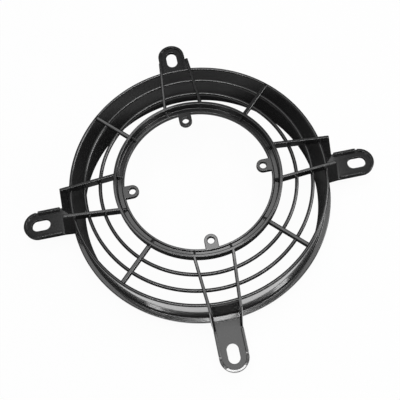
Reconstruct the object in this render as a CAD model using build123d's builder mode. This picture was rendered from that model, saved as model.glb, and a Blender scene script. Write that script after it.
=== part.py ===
from build123d import *
import os
from math import asin, atan2, cos, degrees, hypot, radians, sin, sqrt

# Moulded plastic fan guard: a deep round collar with a mounting flange, a grille
# of concentric rings on top, a stiff hub ring with four screw tabs for the motor,
# four single spokes, and four arms of twin ribs that run out to slotted lugs.
# It is moulded in one shot, so it is one solid. Sizes are in millimetres.

# Heights along the axis, from the open end of the spigot upwards
spigot_length = 15.6
flange_thickness = 3.0
wall_height = 30.8
ring_depth = 2.6
rib_rise = 5.4

# Collar: rim lip, wall with draft on both faces, flange, spigot
rim_radius = 100.0
rim_width = 2.7
rim_lip_depth = 2.4
rim_lip_overhang = 0.6
rim_chamfer = 0.8
wall_draft = 1.5
bore_draft = 0.2
flange_width = 4.3
flange_chamfer = 0.5
spigot_wall = 2.5
spigot_chamfer = 0.8

# Grille rings, placed by their share of the way from the hub to the rim
ring_shares = (0.324, 0.68)
ring_width = 2.7
ring_chamfer = 0.8

# Hub: a floor with a low lip round its bore and a tall wall round the outside
hub_radius = 64.7
hub_width = 7.7
hub_wall = 2.6
hub_chamfer = 0.5
hub_floor_thickness = 2.0
hub_lip_width = 1.6
hub_lip_height = 1.5
gusset_thickness = 1.6
gusset_drop = 1.6

# Motor tabs on the hub's bore
arm_count = 4
tab_hole_inset = 5.8
tab_hole_radius = 2.65
tab_width = 10.2

# Single spokes, half way between the arms
spoke_width = 3.4
spoke_rise = 0.8
spoke_chamfer = 0.6

# Twin ribs of each arm, whose outer ends slope out towards the lug
rib_thickness = 2.3
rib_spacing_at_hub = 29.0
rib_spacing_at_end = 21.6
rib_end_overhang = 5.3
rib_end_slant = 6.8
rib_rounding = 0.6

# Lugs at the ends of the arms, with a slot for a mounting screw
lug_slot_clearance = 10.9
lug_slot_length = 15.0
lug_slot_width = 9.0
lug_tip_width = 6.4
lug_side_width = 6.8
lug_rim_width = 2.3
lug_rim_chamfer = 0.6
lug_wall_height = 3.2
lug_tip_rim_height = 1.5
lug_root_gap = 1.3
lug_notch_overlap = 0.3
lug_notch_width = 1.8

# Levels that follow from the heights
flange_bottom = spigot_length
flange_top = flange_bottom + flange_thickness
ring_top = flange_top + wall_height
grille_bottom = ring_top - ring_depth
spoke_top = ring_top + spoke_rise
rib_top = ring_top + rib_rise
rib_foot = flange_top - flange_thickness / 2
hub_floor_top = grille_bottom + hub_floor_thickness
hub_lip_top = hub_floor_top + hub_lip_height
lug_wall_top = flange_top + lug_wall_height
lug_tip_rim_top = flange_top + lug_tip_rim_height

# Radii that follow from the sections
bore_top_radius = rim_radius - rim_width
bore_bottom_radius = bore_top_radius - bore_draft
wall_top_radius = rim_radius - rim_lip_overhang
wall_foot_radius = wall_top_radius + wall_draft
flange_radius = wall_foot_radius + flange_width
spigot_radius = bore_bottom_radius + spigot_wall
hub_bore_radius = hub_radius - hub_width
tab_hole_circle_radius = hub_bore_radius - tab_hole_inset
hub_wall_inner_radius = hub_radius - hub_wall
hub_wall_mid_radius = hub_radius - hub_wall / 2
hub_lip_radius = hub_bore_radius + hub_lip_width
hub_lip_mid_radius = hub_bore_radius + hub_lip_width / 2
wall_mid_radius = (wall_top_radius + bore_bottom_radius) / 2
rim_mid_radius = (rim_radius + bore_top_radius) / 2
ring_radii = [hub_radius + share * (rim_mid_radius - hub_radius) for share in ring_shares]

arm_angles = [360 / arm_count * number for number in range(arm_count)]
spoke_angle = 180 / arm_count


def turned(angle, level):
    """Level plane whose x direction points along the arm or spoke at this angle"""
    direction = (cos(radians(angle)), sin(radians(angle)), 0)
    return Plane(origin=(0, 0, level), x_dir=direction, z_dir=(0, 0, 1))


def upright(angle, start, end):
    """Upright plane through two points of an arm's plan, x along them, y upwards"""
    turn = radians(angle)
    slope = atan2(end[1] - start[1], end[0] - start[0]) + turn
    origin = (
        start[0] * cos(turn) - start[1] * sin(turn),
        start[0] * sin(turn) + start[1] * cos(turn),
        0,
    )
    return Plane(origin=origin, x_dir=(cos(slope), sin(slope), 0), z_dir=(sin(slope), -cos(slope), 0))


# Plan of one rib: a straight line that closes in towards the lug
rib_half_at_hub = rib_spacing_at_hub / 2
rib_half_at_end = rib_spacing_at_end / 2
rib_end_reach = rim_radius + rib_end_overhang
rib_start_reach = sqrt(hub_wall_mid_radius**2 - rib_half_at_hub**2)
rib_run = rib_end_reach - rib_start_reach
rib_slope = (rib_half_at_end - rib_half_at_hub) / rib_run
rib_stretch = hypot(1, rib_slope)
rib_foot_reach = rib_end_reach + rib_end_slant


def rib_half_spacing(reach):
    """Distance of a rib's centre line from its arm's axis at this reach"""
    return rib_half_at_hub + rib_slope * (reach - rib_start_reach)


def along_rib(reach):
    """Length of a rib's centre line from the hub's wall to this reach"""
    return (reach - rib_start_reach) * rib_stretch


# Reach at which the rib's centre line passes through the middle of the wall
wall_reach = sqrt(wall_mid_radius**2 - rib_half_spacing(wall_mid_radius) ** 2)

# Plan of one lug, with the arm along x
rib_half_outside = rib_thickness / 2 * rib_stretch
lug_slot_radius = rib_foot_reach + lug_slot_clearance + lug_slot_length / 2
lug_end_radius = lug_slot_width / 2 + lug_side_width
lug_end_reach = lug_slot_radius + lug_slot_length / 2 + lug_tip_width - lug_end_radius
root_corner = (wall_reach, rib_half_spacing(wall_reach) + rib_half_outside)
foot_corner = (rib_foot_reach, rib_half_spacing(rib_foot_reach) + rib_half_outside)
centre_distance = hypot(lug_end_reach - foot_corner[0], foot_corner[1])
tangent_angle = asin(lug_end_radius / centre_distance) - asin(foot_corner[1] / centre_distance)
tangent_point = (
    lug_end_reach - lug_end_radius * sin(tangent_angle),
    lug_end_radius * cos(tangent_angle),
)
arc_middle = (
    lug_end_reach + lug_end_radius * cos(radians(45)),
    lug_end_radius * sin(radians(45)),
)
lug_tip = (lug_end_reach + lug_end_radius, 0)

with BuildSketch() as lug_shape:
    with BuildLine():
        Polyline((wall_reach, 0), root_corner, foot_corner, tangent_point)
        ThreePointArc(tangent_point, arc_middle, lug_tip)
        mirror(about=Plane.XZ)
    make_face()

with BuildSketch() as lug_rim:
    add(lug_shape.sketch)
    offset(lug_shape.sketch, amount=-lug_rim_width, mode=Mode.SUBTRACT)

# Planes of the lugs, ribs and gussets round the guard
lug_bottom_planes = [turned(angle, flange_bottom) for angle in arm_angles]
lug_top_planes = [turned(angle, flange_top) for angle in arm_angles]
rib_planes = []
for angle in arm_angles:
    for side in (1, -1):
        start = (rib_start_reach, side * rib_half_at_hub)
        end = (rib_end_reach, side * rib_half_at_end)
        rib_planes.append(upright(angle, start, end))

rib_angle_at_hub = degrees(asin(rib_half_at_hub / hub_wall_mid_radius))
gusset_planes = []
for angle in arm_angles:
    for offset_angle in (-rib_angle_at_hub, rib_angle_at_hub, spoke_angle):
        gusset_planes.append(upright(angle + offset_angle, (0, 0), (1, 0)))

with BuildPart() as fan_guard:
    # Lugs: plates in the plane of the flange, edged with low walls
    with BuildSketch(*lug_bottom_planes):
        add(lug_shape.sketch)
    extrude(amount=flange_thickness)
    side_wall_start = rib_foot_reach + lug_root_gap
    tip_rim_start = lug_end_reach + lug_notch_overlap
    side_wall_end = tip_rim_start - lug_notch_width
    with BuildSketch(*lug_top_planes):
        add(lug_rim.sketch)
        with Locations(((side_wall_start + side_wall_end) / 2, 0)):
            Rectangle(side_wall_end - side_wall_start, 4 * lug_end_radius, mode=Mode.INTERSECT)
    extrude(amount=lug_wall_height)
    with BuildSketch(*lug_top_planes):
        add(lug_rim.sketch)
        with Locations((tip_rim_start + lug_end_radius, 0)):
            Rectangle(2 * lug_end_radius, 4 * lug_end_radius, mode=Mode.INTERSECT)
    extrude(amount=lug_tip_rim_height)
    wall_edges = fan_guard.edges().filter_by_position(Axis.Z, lug_wall_top, lug_wall_top)
    chamfer(wall_edges, lug_rim_chamfer)
    rim_edges = fan_guard.edges().filter_by_position(Axis.Z, lug_tip_rim_top, lug_tip_rim_top)
    chamfer(rim_edges, lug_rim_chamfer)

    # Slots for the mounting screws
    with BuildSketch(*lug_bottom_planes):
        with Locations((lug_slot_radius, 0)):
            SlotOverall(lug_slot_length, lug_slot_width)
    extrude(amount=flange_thickness, mode=Mode.SUBTRACT)

    # Twin ribs: shallow over the grille, full height outside the wall
    with BuildSketch(*rib_planes):
        with BuildLine():
            Polyline(
                (0, grille_bottom),
                (along_rib(wall_reach), grille_bottom),
                (along_rib(wall_reach), rib_foot),
                (along_rib(rib_foot_reach), rib_foot),
                (along_rib(rib_foot_reach), flange_top),
                (along_rib(rib_end_reach), rib_top),
                (0, rib_top),
                close=True,
            )
        make_face()
    extrude(amount=rib_thickness / 2, both=True)
    rib_edges = fan_guard.edges().filter_by_position(Axis.Z, rib_top, rib_top)
    fillet(rib_edges, rib_rounding)

    # Single spokes run from the hub's wall to the rim
    with BuildSketch(Plane.XY.offset(grille_bottom)):
        with PolarLocations((hub_wall_mid_radius + rim_mid_radius) / 2, arm_count, start_angle=spoke_angle):
            Rectangle(rim_mid_radius - hub_wall_mid_radius, spoke_width)
    extrude(amount=ring_depth + spoke_rise)
    spoke_edges = fan_guard.edges().filter_by_position(Axis.Z, spoke_top, spoke_top)
    chamfer(spoke_edges, spoke_chamfer)

    # Collar, rings and hub are sections turned about the axis
    with BuildSketch(Plane.XZ) as collar_section:
        with BuildLine():
            Polyline(
                (bore_bottom_radius, 0),
                (spigot_radius, 0),
                (spigot_radius, flange_bottom),
                (flange_radius, flange_bottom),
                (flange_radius, flange_top),
                (wall_foot_radius, flange_top),
                (wall_top_radius, ring_top - rim_lip_depth),
                (rim_radius, ring_top - rim_lip_depth),
                (rim_radius, ring_top),
                (bore_top_radius, ring_top),
                close=True,
            )
        make_face()
        chamfer(collar_section.vertices().group_by(Axis.Y)[-1], rim_chamfer)
        chamfer(collar_section.vertices().group_by(Axis.X)[-1], flange_chamfer)
        chamfer(collar_section.vertices().group_by(Axis.Y)[0].sort_by(Axis.X)[-1], spigot_chamfer)
    revolve(axis=Axis.Z)

    for radius in ring_radii:
        with BuildSketch(Plane.XZ) as ring_section:
            with Locations((radius, ring_top - ring_depth / 2)):
                Rectangle(ring_width, ring_depth)
            chamfer(ring_section.vertices().group_by(Axis.Y)[-1], ring_chamfer)
        revolve(axis=Axis.Z)

    with BuildSketch(Plane.XZ) as hub_section:
        with BuildLine():
            Polyline(
                (hub_bore_radius, grille_bottom),
                (hub_radius, grille_bottom),
                (hub_radius, rib_top),
                (hub_wall_inner_radius, rib_top),
                (hub_wall_inner_radius, hub_floor_top),
                (hub_lip_radius, hub_floor_top),
                (hub_lip_radius, hub_lip_top),
                (hub_bore_radius, hub_lip_top),
                close=True,
            )
        make_face()
        chamfer(hub_section.vertices().group_by(Axis.Y)[-1], hub_chamfer)
    revolve(axis=Axis.Z)

    # Gussets stiffen the hub's wall where ribs and spokes meet it
    with BuildSketch(*gusset_planes):
        with BuildLine():
            Polyline(
                (hub_lip_mid_radius, hub_floor_top - hub_floor_thickness / 2),
                (hub_wall_mid_radius, hub_floor_top - hub_floor_thickness / 2),
                (hub_wall_mid_radius, rib_top - gusset_drop),
                (hub_lip_mid_radius, hub_lip_top),
                close=True,
            )
        make_face()
    extrude(amount=gusset_thickness / 2, both=True)

    # Tabs reach in from the hub's lip to the motor's screws
    with BuildSketch(Plane.XY.offset(grille_bottom)):
        with PolarLocations((tab_hole_circle_radius + hub_lip_radius) / 2, arm_count):
            Rectangle(hub_lip_radius - tab_hole_circle_radius, tab_width)
        with PolarLocations(tab_hole_circle_radius, arm_count):
            Circle(tab_width / 2)
        Circle(hub_lip_radius, mode=Mode.INTERSECT)
        with PolarLocations(tab_hole_circle_radius, arm_count):
            Circle(tab_hole_radius, mode=Mode.SUBTRACT)
    extrude(amount=hub_lip_top - grille_bottom)

fan_guard.part.label = "fan_guard"
os.makedirs("parts", exist_ok=True)
export_step(fan_guard.part, "parts/fan_guard.step")
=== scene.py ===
import math

import bpy
import numpy as np
from mathutils import Matrix, Vector
from mathutils.geometry import tessellate_polygon


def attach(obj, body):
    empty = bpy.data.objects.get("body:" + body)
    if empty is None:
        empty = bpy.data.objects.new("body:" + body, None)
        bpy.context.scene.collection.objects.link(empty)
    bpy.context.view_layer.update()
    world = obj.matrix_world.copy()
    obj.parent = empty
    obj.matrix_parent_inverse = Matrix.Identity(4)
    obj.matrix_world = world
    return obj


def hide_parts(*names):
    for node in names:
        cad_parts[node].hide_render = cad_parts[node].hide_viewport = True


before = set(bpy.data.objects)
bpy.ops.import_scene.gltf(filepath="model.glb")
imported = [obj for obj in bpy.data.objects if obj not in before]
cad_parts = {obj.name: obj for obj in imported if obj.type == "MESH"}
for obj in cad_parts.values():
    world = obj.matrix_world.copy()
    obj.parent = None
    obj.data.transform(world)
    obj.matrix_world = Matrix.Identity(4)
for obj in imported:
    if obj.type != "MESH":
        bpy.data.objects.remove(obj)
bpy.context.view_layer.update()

# Sizes of the moulding in millimetres, as in the part's source
flange_bottom = 15.6
flange_top = 18.6
ring_top = 49.4
grille_bottom = 46.8
spoke_top = 50.2
rib_top = 54.8
hub_floor_top = 48.8
hub_lip_top = 50.3
lug_wall_top = 21.8
lug_tip_rim_top = 20.1

rim_radius = 100.0
rim_lip_bottom = 47.0
wall_top_radius = 99.4
wall_foot_radius = 100.9
flange_radius = 105.2
spigot_radius = 99.6
bore_top_radius = 97.3
bore_bottom_radius = 97.1
ring_radii = (75.7, 87.8)
ring_width = 2.7

hub_radius = 64.7
hub_wall_inner_radius = 62.1
hub_wall_mid_radius = 63.4
hub_lip_radius = 58.6
hub_bore_radius = 57.0
gusset_thickness = 1.6
gusset_top = 53.2
gusset_foot_radius = 57.8

tab_hole_circle_radius = 51.2
tab_hole_radius = 2.65
tab_width = 10.2
tab_root_reach = 58.2

spoke_width = 3.4
spoke_end_reach = 98.6
rib_thickness = 2.3
rib_half_at_hub = 14.5
rib_half_at_end = 10.8
rib_end_reach = 105.3
rib_foot_reach = 112.1

lug_slot_radius = 130.5
lug_slot_length = 15.0
lug_slot_width = 9.0
lug_end_reach = 133.1
lug_end_radius = 11.3
lug_rim_width = 2.3
side_wall_start = 113.4
side_wall_end = 131.6
tip_rim_start = 133.4
tip_rim_slope = 0.13

# Radii of the rounded edges
rib_rounding = 0.6
lug_rounding = 0.4
tip_rim_rounding = 0.5
tab_rounding = 0.5
spoke_rounding = 0.9
gusset_rounding = 0.35
rim_corner = 0.65

# Shells that overlap reach this far into the one that carries them
rim_root = 1.5
side_wall_root = 2.5
gusset_root = 1.0

# Faces that would lie in one plane where two shells overlap are parted by this much
parting = 0.02


# Shapes

def rounded_loop(corners, radii, step=10.0):
    """Closed outline with every corner turned into an arc. With n0 and n1 the outward normals of the
    edges before and after a corner P, the arc's centre is P - s r (n0 + n1) / (1 + n0.n1), where s is
    1 at an outer corner and -1 at an inner one, and its points are centre + s r n for every normal n
    between n0 and n1. Gives the points and their outward normals."""
    corners = np.asarray(corners, float)
    before = corners - np.roll(corners, 1, axis=0)
    after = np.roll(corners, -1, axis=0) - corners
    normal_before = np.stack([before[:, 1], -before[:, 0]], 1) / np.hypot(*before.T)[:, None]
    normal_after = np.stack([after[:, 1], -after[:, 0]], 1) / np.hypot(*after.T)[:, None]
    start = np.arctan2(normal_before[:, 1], normal_before[:, 0])
    turn = np.arctan2(normal_after[:, 1], normal_after[:, 0]) - start
    turn = (turn + np.pi) % (2 * np.pi) - np.pi
    points, normals = [], []
    for corner, n0, n1, first, angle, radius in zip(
            corners, normal_before, normal_after, start, turn, radii):
        side = 1.0 if angle > 0 else -1.0
        centre = corner - side * radius * (n0 + n1) / (1 + n0 @ n1)
        count = max(3, math.ceil(abs(math.degrees(angle)) / step) + 1)
        angles = first + angle * np.linspace(0, 1, count)
        around = np.stack([np.cos(angles), np.sin(angles)], 1)
        points.append(centre + side * radius * around)
        normals.append(around)
    points, normals = np.concatenate(points), np.concatenate(normals)
    apart = np.hypot(*(points - np.roll(points, 1, axis=0)).T) > 1e-5
    return points[apart], normals[apart]


def grid_quads(rows, columns, wrap_rows):
    """Quads of a grid whose columns close on themselves, and whose rows do too if asked"""
    i, j = np.meshgrid(np.arange(rows if wrap_rows else rows - 1), np.arange(columns), indexing="ij")
    i2, j2 = (i + 1) % rows, (j + 1) % columns
    quads = np.stack([i * columns + j, i * columns + j2, i2 * columns + j2, i2 * columns + j], -1)
    return quads.reshape(-1, 4)


class Moulding:
    """Shells gathered into one mesh, with the normal of every point worked out from its formula"""

    def __init__(self):
        self.points, self.normals, self.faces, self.count = [], [], [], 0

    def add(self, points, normals, faces, place=None):
        if place is not None:
            points = points @ place[:3, :3].T + place[:3, 3]
            normals = normals @ place[:3, :3].T
        self.points.append(points)
        self.normals.append(normals)
        self.faces.extend((np.asarray(face) + self.count).tolist() for face in faces)
        self.count += len(points)

    def build(self, name):
        mesh = bpy.data.meshes.new(name)
        faces = [face for group in self.faces for face in group]
        mesh.from_pydata((np.concatenate(self.points) * 0.001).tolist(), [], faces)
        mesh.validate()
        mesh.shade_smooth()
        mesh.normals_split_custom_set_from_vertices(np.concatenate(self.normals).tolist())
        piece = bpy.data.objects.new(name, mesh)
        bpy.context.scene.collection.objects.link(piece)
        return piece


def turned(moulding, corners, radii, count=288):
    """Section carried round the axis: the section's point (r, z) stands at (r cos a, r sin a, z) for
    every angle a, and its normal turns with it. The radii round the section's corners in turn."""
    loop, loop_normals = rounded_loop(corners, radii, step=15.0)
    angles = np.arange(count) / count * 2 * np.pi
    cosine, sine = np.cos(angles)[None, :], np.sin(angles)[None, :]

    def around(values):
        return np.stack([values[:, :1] * cosine, values[:, :1] * sine,
                         np.repeat(values[:, 1:], count, axis=1)], -1).reshape(-1, 3)

    moulding.add(around(loop), around(loop_normals), [grid_quads(len(loop), count, True)])


def plate(moulding, outlines, low, high, rounding, place, steps=5, fall=None):
    """Flat piece with rounded edges. Every outline is repeated at the angles t of a quarter arc at each
    face, pulled in by rounding (1 - cos t) and raised by rounding sin t from the arc's middle, with
    the normal cos t n + sin t z, and the flat faces fill what lies between the outlines. A fall of
    (centre, radius, slope) lowers every point by slope times how far it lies outside that circle."""
    quarter = np.linspace(0, np.pi / 2, steps)
    turn = np.concatenate([-quarter[::-1], quarter])
    arc_level = np.concatenate([np.full(steps, low + rounding), np.full(steps, high - rounding)])
    level = arc_level + rounding * np.sin(turn)
    inset = rounding * (1 - np.cos(turn))
    points, normals, faces, first = [], [], [], 0
    low_edges, high_edges, low_index, high_index = [], [], [], []
    for loop, loop_normals in outlines:
        size, rows = len(loop), len(turn)
        flat = loop[None] - loop_normals[None] * inset[:, None, None]
        heights = np.broadcast_to(level[:, None, None], (rows, size, 1))
        grid = np.concatenate([flat, heights], 2)
        tilt = np.concatenate([loop_normals[None] * np.cos(turn)[:, None, None],
                               np.broadcast_to(np.sin(turn)[:, None, None], (rows, size, 1))], 2)
        points.append(grid.reshape(-1, 3))
        normals.append(tilt.reshape(-1, 3))
        faces.append(grid_quads(rows, size, False) + first)
        low_edges.append([Vector(point) for point in grid[0].tolist()])
        high_edges.append([Vector(point) for point in grid[-1].tolist()])
        low_index.append(np.arange(size) + first)
        high_index.append(np.arange(size) + first + (rows - 1) * size)
        first += rows * size
    points, normals = np.concatenate(points), np.concatenate(normals)
    if fall is not None:
        middle, radius, slope = fall
        outwards = points[:, :2] - middle
        distance = np.hypot(outwards[:, 0], outwards[:, 1])
        points[:, 2] -= slope * (distance - radius)
        normals[:, :2] += slope * normals[:, 2:] * outwards / distance[:, None]
        normals /= np.linalg.norm(normals, axis=1)[:, None]
    for edges, index, upwards in ((low_edges, low_index, False), (high_edges, high_index, True)):
        index = np.concatenate(index)
        triangles = index[np.asarray(tessellate_polygon(edges))]
        a, b, c = (points[triangles[:, k], :2] for k in range(3))
        area = (b - a)[:, 0] * (c - a)[:, 1] - (b - a)[:, 1] * (c - a)[:, 0]
        wrong = (area > 0) != upwards
        triangles[wrong] = triangles[wrong][:, ::-1]
        faces.append(triangles[np.abs(area) > 1e-9])
    moulding.add(points, normals, faces, place)


def about_axis(degrees):
    """Placement that turns a plan from the first arm to the arm or spoke at this angle"""
    return np.array(Matrix.Rotation(math.radians(degrees), 4, "Z"))


def standing(degrees, start, end):
    """Placement of an upright outline: its x runs from one point of the arm's plan to another, its y
    is the height, and its thickness lies across."""
    along = np.array([end[0] - start[0], end[1] - start[1], 0.0])
    along /= np.linalg.norm(along)
    place = np.eye(4)
    place[:3, 0] = along
    place[:3, 1] = (0, 0, 1)
    place[:3, 2] = np.cross(along, (0, 0, 1))
    place[:3, 3] = (start[0], start[1], 0)
    return about_axis(degrees) @ place


def band_along_arc(centre, outer, inner, limit, corner):
    """Corners of a band that follows a round end from -limit to limit degrees. An arc of radius R is
    the polygon whose corners lie at R / cos(half a step), with each corner rounded by R itself. Both
    ends run on past the last arc by the overrun, which leaves room for their small corners."""
    overrun = corner * 1.3
    slack = math.degrees(overrun / outer)
    angles = np.linspace(-limit + slack, limit - slack, 9)
    middles = np.radians((angles[1:] + angles[:-1]) / 2)
    stretch = 1 / math.cos(math.radians(angles[1] - angles[0]) / 2)
    ends = []
    for angle, side in ((angles[0], -1), (angles[-1], 1)):
        a = math.radians(angle)
        normal = np.array([math.cos(a), math.sin(a)])
        tangent = np.array([-math.sin(a), math.cos(a)]) * side
        ends.append([centre + normal * radius + tangent * overrun for radius in (outer, inner)])
    far = [centre + outer * stretch * np.array([math.cos(a), math.sin(a)]) for a in middles]
    near = [centre + inner * stretch * np.array([math.cos(a), math.sin(a)]) for a in middles[::-1]]
    corners = [ends[0][0], *far, ends[1][0], ends[1][1], *near, ends[0][1]]
    radii = [corner] + [outer] * len(far) + [corner, corner] + [inner] * len(near) + [corner]
    return corners, radii


# The guard, one moulding

guard = Moulding()

# Collar with its rim lip, drafted wall, flange and spigot
turned(guard,
       [(bore_bottom_radius, 0), (spigot_radius, 0), (spigot_radius, flange_bottom),
        (flange_radius, flange_bottom), (flange_radius, flange_top), (wall_foot_radius, flange_top),
        (wall_top_radius, rim_lip_bottom), (rim_radius, rim_lip_bottom), (rim_radius, ring_top),
        (bore_top_radius, ring_top)],
       [0.4, 0.9, 0.5, 0.5, 0.8, 1.0, 0.25, 0.4, 1.3, 1.3], count=360)

# Grille rings with rounded tops
for radius in ring_radii:
    inside, outside = radius - ring_width / 2, radius + ring_width / 2
    turned(guard,
           [(inside, grille_bottom), (outside, grille_bottom), (outside, ring_top), (inside, ring_top)],
           [0.4, 0.4, 1.3, 1.3])

# Hub: tall outer wall, floor and low lip round the bore
hub_top = rib_top - parting
turned(guard,
       [(hub_bore_radius, grille_bottom), (hub_radius, grille_bottom), (hub_radius, hub_top),
        (hub_wall_inner_radius, hub_top), (hub_wall_inner_radius, hub_floor_top),
        (hub_lip_radius, hub_floor_top), (hub_lip_radius, hub_lip_top), (hub_bore_radius, hub_lip_top)],
       [0.4, 0.5, 0.7, 0.7, 0.5, 0.4, 0.5, 0.5])

# Twin ribs, whose ends slope out to the lugs
rib_start_reach = math.sqrt(hub_wall_mid_radius**2 - rib_half_at_hub**2)
rib_slope = (rib_half_at_end - rib_half_at_hub) / (rib_end_reach - rib_start_reach)
rib_stretch = math.hypot(1, rib_slope)
wall_mid_radius = (wall_top_radius + bore_bottom_radius) / 2
rib_half_at_wall = rib_half_at_hub + rib_slope * (wall_mid_radius - rib_start_reach)
wall_reach = math.sqrt(wall_mid_radius**2 - rib_half_at_wall**2)
rib_half_at_foot = rib_half_at_hub + rib_slope * (rib_foot_reach - rib_start_reach)
at_wall, at_end, at_foot = ((reach - rib_start_reach) * rib_stretch
                            for reach in (wall_reach, rib_end_reach, rib_foot_reach))
rib_outline = rounded_loop(
    [(0, grille_bottom - parting), (at_wall, grille_bottom - parting), (at_wall, flange_top - rim_root),
     (at_foot, flange_top - rim_root), (at_foot, flange_top), (at_end, rib_top), (0, rib_top)],
    [0.4, 0.4, 0.4, 0.4, 0.9, 0.9, 0.4])

# Gussets across the hub's floor
gusset_outline = rounded_loop(
    [(gusset_foot_radius, hub_floor_top - gusset_root), (hub_wall_mid_radius, hub_floor_top - gusset_root),
     (hub_wall_mid_radius, gusset_top), (gusset_foot_radius, hub_lip_top - parting)],
    [0.4] * 4)

# Spokes and motor tabs
spoke_outline = rounded_loop(
    [(hub_wall_mid_radius, -spoke_width / 2), (spoke_end_reach, -spoke_width / 2),
     (spoke_end_reach, spoke_width / 2), (hub_wall_mid_radius, spoke_width / 2)],
    [0.3] * 4)
half_tab = tab_width / 2
tab_outline = rounded_loop(
    [(tab_hole_circle_radius - half_tab, -half_tab), (tab_root_reach, -half_tab),
     (tab_root_reach, half_tab), (tab_hole_circle_radius - half_tab, half_tab)],
    [half_tab, 0.5, 0.5, half_tab])


def opening(reach, half_length, half_width):
    """Outline of a hole or slot with round ends, its middle at this reach along the arm"""
    return rounded_loop(
        [(reach + x * half_length, y * half_width) for x, y in ((-1, -1), (-1, 1), (1, 1), (1, -1))],
        [half_width] * 4)


tab_hole = opening(tab_hole_circle_radius, tab_hole_radius, tab_hole_radius)

# Lugs: plate with a slot, low side walls and a rounded rim round the tip
half_outside = rib_thickness / 2 * rib_stretch
root_half = rib_half_at_hub + rib_slope * (wall_reach - rib_start_reach) + half_outside
foot_half = rib_half_at_foot + half_outside
lean = math.asin(lug_end_radius / math.hypot(lug_end_reach - rib_foot_reach, foot_half)) \
    - math.atan2(foot_half, lug_end_reach - rib_foot_reach)
side_along = np.array([math.cos(lean), math.sin(lean)])
tip_reach = lug_end_reach + lug_end_radius
tip_half = foot_half + (tip_reach - rib_foot_reach) * math.tan(lean)
lug_outline = rounded_loop(
    [(wall_reach, -root_half), (rib_foot_reach, -foot_half), (tip_reach, -tip_half),
     (tip_reach, tip_half), (rib_foot_reach, foot_half), (wall_reach, root_half)],
    [0.4, 3.0, lug_end_radius, lug_end_radius, 3.0, 0.4], step=5.0)
slot_outline = opening(lug_slot_radius, lug_slot_length / 2, lug_slot_width / 2)


def side_wall_outline(side):
    """Outline of one low wall, a strip just inside the lug's straight side"""
    along = side_along * (1, side)
    inward = np.array([side_along[1], -side_along[0]]) * (1, side)
    first = np.array([rib_foot_reach, side * foot_half]) - inward * parting
    start = first + along * (side_wall_start - rib_foot_reach)
    end = first + along * (side_wall_end - rib_foot_reach)
    corners = [start, start + inward * lug_rim_width, end + inward * lug_rim_width, end]
    return rounded_loop(corners if side > 0 else corners[::-1], [rim_corner] * 4)


tip_centre = np.array([lug_end_reach, 0.0])
tip_rim_inner = lug_end_radius - lug_rim_width
tip_limit = math.degrees(math.acos((tip_rim_start - lug_end_reach) / lug_end_radius))
tip_rim_outline = rounded_loop(
    *band_along_arc(tip_centre, lug_end_radius + parting, tip_rim_inner, tip_limit, rim_corner), step=6.0)

for arm in (0, 90, 180, 270):
    at_arm, at_diagonal = about_axis(arm), about_axis(arm + 45)
    for side in (1, -1):
        along_rib = standing(
            arm, (rib_start_reach, side * rib_half_at_hub), (rib_end_reach, side * rib_half_at_end))
        plate(guard, [rib_outline], -rib_thickness / 2, rib_thickness / 2, rib_rounding, along_rib)
        plate(guard, [side_wall_outline(side)],
              flange_top - side_wall_root, lug_wall_top, rib_rounding, at_arm)
        gusset_angle = arm + side * math.degrees(math.asin(rib_half_at_hub / hub_wall_mid_radius))
        plate(guard, [gusset_outline], -gusset_thickness / 2, gusset_thickness / 2, gusset_rounding,
              standing(gusset_angle, (0, 0), (1, 0)))
    plate(guard, [lug_outline, slot_outline],
          flange_bottom - parting, flange_top + parting, lug_rounding, at_arm)
    plate(guard, [tip_rim_outline], flange_top - rim_root, lug_tip_rim_top, tip_rim_rounding, at_arm,
          fall=(tip_centre, tip_rim_inner, tip_rim_slope))
    plate(guard, [tab_outline, tab_hole],
          grille_bottom - parting, hub_lip_top + parting, tab_rounding, at_arm)
    plate(guard, [spoke_outline], grille_bottom - parting / 2, spoke_top, spoke_rounding, at_diagonal)
    plate(guard, [gusset_outline], -gusset_thickness / 2, gusset_thickness / 2, gusset_rounding,
          standing(arm + 45, (0, 0), (1, 0)))

moulding = guard.build("guard_moulding")
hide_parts("fan_guard")
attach(moulding, "root")


# Finishes

class Shade:
    """A shader value: arithmetic on it adds Math nodes to its finish"""

    def __init__(self, finish, socket):
        self.finish, self.socket = finish, socket

    def math(self, operation, *values):
        made = self.finish.node("ShaderNodeMath", {"operation": operation}, dict(enumerate(values)))
        return made["Value"]

    def __add__(self, other):
        return self.math("ADD", self, other)

    def __sub__(self, other):
        return self.math("SUBTRACT", self, other)

    def __mul__(self, other):
        return self.math("MULTIPLY", self, other)

    def __radd__(self, other):
        return self.math("ADD", other, self)

    def __rsub__(self, other):
        return self.math("SUBTRACT", other, self)

    def __rmul__(self, other):
        return self.math("MULTIPLY", other, self)

    def size(self):
        return self.math("ABSOLUTE", self)

    def clipped(self):
        return self.math("MINIMUM", self.math("MAXIMUM", self, 0.0), 1.0)


class Outputs:
    """The outputs of a node by name"""

    def __init__(self, finish, made):
        self.finish, self.made = finish, made

    def __getitem__(self, name):
        return Shade(self.finish, self.made.outputs[name])


class Finish:
    """The nodes that make a material or the room round the part"""

    def __init__(self, owner, output="ShaderNodeOutputMaterial"):
        owner.use_nodes = True
        self.owner, self.tree = owner, owner.node_tree
        self.tree.nodes.clear()
        self.output = self.tree.nodes.new(output)

    def node(self, kind, settings=None, inputs=None):
        made = self.tree.nodes.new(kind)
        for name, value in (settings or {}).items():
            setattr(made, name, value)
        for name, value in (inputs or {}).items():
            if isinstance(value, Shade):
                self.tree.links.new(value.socket, made.inputs[name])
            else:
                made.inputs[name].default_value = value
        return Outputs(self, made)

    def surface(self, shader):
        self.tree.links.new(shader.socket, self.output.inputs["Surface"])


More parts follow.
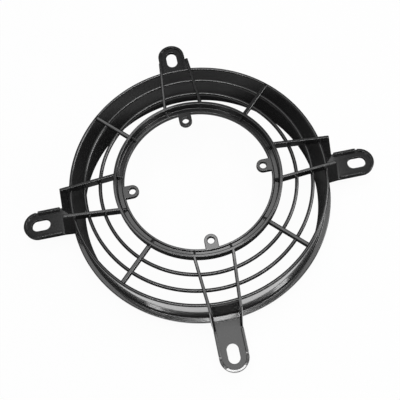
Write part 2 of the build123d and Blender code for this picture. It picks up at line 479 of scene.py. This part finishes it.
def black_plastic():
    """Black moulded plastic: a satin gloss whose sheen drifts slowly over the part, with the fine grain
    that the mould leaves and a few faint scuffs where the part has been handled."""
    finish = Finish(bpy.data.materials.new("black_moulded_plastic"))
    place = finish.node("ShaderNodeTexCoord")["Object"]

    def noise(**inputs):
        return finish.node("ShaderNodeTexNoise", None, {"Vector": place, **inputs})["Fac"]

    drift = noise(Scale=22.0, Detail=3.0)
    grain = noise(Scale=1500.0, Detail=2.0)
    peel = noise(Scale=160.0, Detail=1.0)
    marks = noise(Scale=90.0, Detail=8.0, Roughness=0.75)
    scuffs = ((marks - 0.6) * 6.0).clipped()
    colour = finish.node("ShaderNodeMix", {"data_type": "RGBA"}, {
        "Factor": ((drift - 0.35) * 1.6 + scuffs * 0.25).clipped(),
        "A": (0.01, 0.01, 0.0103, 1.0), "B": (0.0155, 0.0155, 0.016, 1.0)})["Result"]
    relief = grain * 0.1 + peel * 0.9
    bump = finish.node("ShaderNodeBump", None, {
        "Strength": 0.008, "Distance": 0.0002, "Height": relief})["Normal"]
    shader = finish.node("ShaderNodeBsdfPrincipled", None, {
        "Base Color": colour,
        "Roughness": 0.16 + drift * 0.06 + scuffs * 0.08,
        "Normal": bump,
        "IOR": 1.6,
        "Coat Weight": 1.0,
        "Coat Roughness": 0.05,
        "Coat IOR": 1.6})["BSDF"]
    finish.surface(shader)
    return finish.owner


def white_paper():
    """Pale floor: matt white that takes the part's shadow. The camera sees it close to white. The gloss of
    the plastic sees painted light and shade on it: a painted white glow in front of the collar, and
    painted shade that leaves it dim inside the collar's far half and nearly dark elsewhere. Each zone is a
    mask that rises from 0 to 1 past a distance in metres."""
    finish = Finish(bpy.data.materials.new("white_paper"))
    path = finish.node("ShaderNodeLightPath")
    place = finish.node("ShaderNodeTexCoord")["Object"]
    reach = finish.node("ShaderNodeVectorMath", {"operation": "LENGTH"}, {0: place})["Value"]
    axes = finish.node("ShaderNodeSeparateXYZ", None, {"Vector": place})
    outside = ((reach - 0.105) * 250.0).clipped()
    # Painted light: glossy rays see the floor glow white in front of the collar, a painted reflection of a
    # lit floor
    painted_glow_in_front = outside * ((-0.044 - axes["Y"]) * 60.0).clipped()
    aside = ((axes["X"].size() - 0.03) * 50.0).clipped() * ((axes["Y"] + 0.005) * 50.0).clipped()
    behind = ((axes["Y"] + 0.03) * 30.0).clipped()
    # Painted shade is lighter inside the collar's far half, where this mask is 1
    lighter_painted_shade = ((0.095 - reach) * 100.0).clipped() * (1.0 - aside) * behind
    seen = path["Is Camera Ray"] * 0.955 + path["Is Glossy Ray"] * painted_glow_in_front
    # Painted shade: glossy rays see the floor mixed toward black everywhere but in front of the collar
    painted_shade = path["Is Glossy Ray"] * (1.0 - painted_glow_in_front) * (0.95 - lighter_painted_shade * 0.23)
    matt = finish.node("ShaderNodeBsdfDiffuse", None, {"Color": (0.86, 0.86, 0.86, 1.0)})["BSDF"]
    # Black diffuse mixed in as painted shade on the floor, for glossy rays only
    dark = finish.node("ShaderNodeBsdfDiffuse", None, {"Color": (0.0, 0.0, 0.0, 1.0)})["BSDF"]
    # White glow: the white backdrop to the camera, and painted light for the gloss in front of the collar
    glow = finish.node("ShaderNodeEmission", None, {
        "Color": (1.0, 1.0, 1.0, 1.0), "Strength": 1.0})["Emission"]
    paper = finish.node("ShaderNodeMixShader", None, {"Fac": painted_shade, 1: matt, 2: dark})["Shader"]
    shader = finish.node("ShaderNodeMixShader", None, {"Fac": seen, 1: paper, 2: glow})["Shader"]
    finish.surface(shader)
    return finish.owner


plastic = black_plastic()
moulding.data.materials.append(plastic)
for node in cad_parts.values():
    node.data.materials.clear()
    node.data.materials.append(plastic)

# Floor, light and camera
floor_mesh = bpy.data.meshes.new("floor")
floor_mesh.from_pydata([(-9, -9, 0), (9, -9, 0), (9, 9, 0), (-9, 9, 0)], [], [(0, 1, 2, 3)])
floor = bpy.data.objects.new("floor", floor_mesh)
bpy.context.scene.collection.objects.link(floor)
floor_mesh.materials.append(white_paper())

# The room is white to the camera and dark to everything else
room_strength = 0.11
studio = Finish(bpy.data.worlds.new("studio"), "ShaderNodeOutputWorld")
to_camera = studio.node("ShaderNodeLightPath")["Is Camera Ray"]
studio.surface(studio.node("ShaderNodeBackground", None, {
    "Color": (1.0, 1.0, 1.0, 1.0),
    "Strength": room_strength + to_camera * (1.0 - room_strength)})["Background"])
bpy.context.scene.world = studio.owner


def softbox(name, place, target, width, height, power):
    """Soft rectangular lamp that faces its target"""
    light = bpy.data.lights.new(name, "AREA")
    light.shape, light.size, light.size_y, light.energy = "RECTANGLE", width, height, power
    lamp = bpy.data.objects.new(name, light)
    lamp.location = place
    lamp.rotation_euler = (Vector(target) - Vector(place)).to_track_quat("-Z", "Y").to_euler()
    bpy.context.scene.collection.objects.link(lamp)
    return lamp


softbox("overhead_light", (0.04, 0.25, 1.3), (0.04, 0.25, 0), 0.8, 0.65, 1.8)
softbox("front_light", (0.02, -0.268, 1.3), (0.02, -0.268, 0), 1.0, 0.11, 4.2)
softbox("spot_light", (0.05, 0.35, 1.27), (0.05, 0.35, 0), 0.14, 0.14, 0.12)
softbox("back_light", (-0.14, 0.8, 1.3), (-0.14, 0.8, 0), 0.3, 0.2, 0.25)
softbox("side_light", (1.0, 0.0, 0.9), (0, 0, 0), 0.5, 0.4, 4.0)

# Lifts the matt colours to their plain level without a mirror image in the gloss
fill_light = softbox("fill_light", (0.0, 0.2, 1.6), (0, 0.2, 0), 1.0, 1.0, 11.0)
fill_light.visible_glossy = False

# Camera at the viewpoint that was fitted to the rings, with its focal length in pixels
focal_length, photo_width = 666.38, 400
camera_data = bpy.data.cameras.new("camera")
camera_data.sensor_fit = "HORIZONTAL"
camera_data.sensor_width = 36.0
camera_data.lens = focal_length / photo_width * camera_data.sensor_width
camera_data.clip_start = 0.01
camera = bpy.data.objects.new("camera", camera_data)
camera.matrix_world = Matrix((
    (0.9803339, 0.19575484, -0.02500987, -0.014392),
    (-0.19096074, 0.90898935, -0.37050284, -0.204981),
    (-0.04979402, 0.3679924, 0.92849456, 0.518410),
    (0, 0, 0, 1)))
bpy.context.scene.collection.objects.link(camera)
bpy.context.scene.camera = camera
bpy.context.scene.view_settings.view_transform = "Standard"
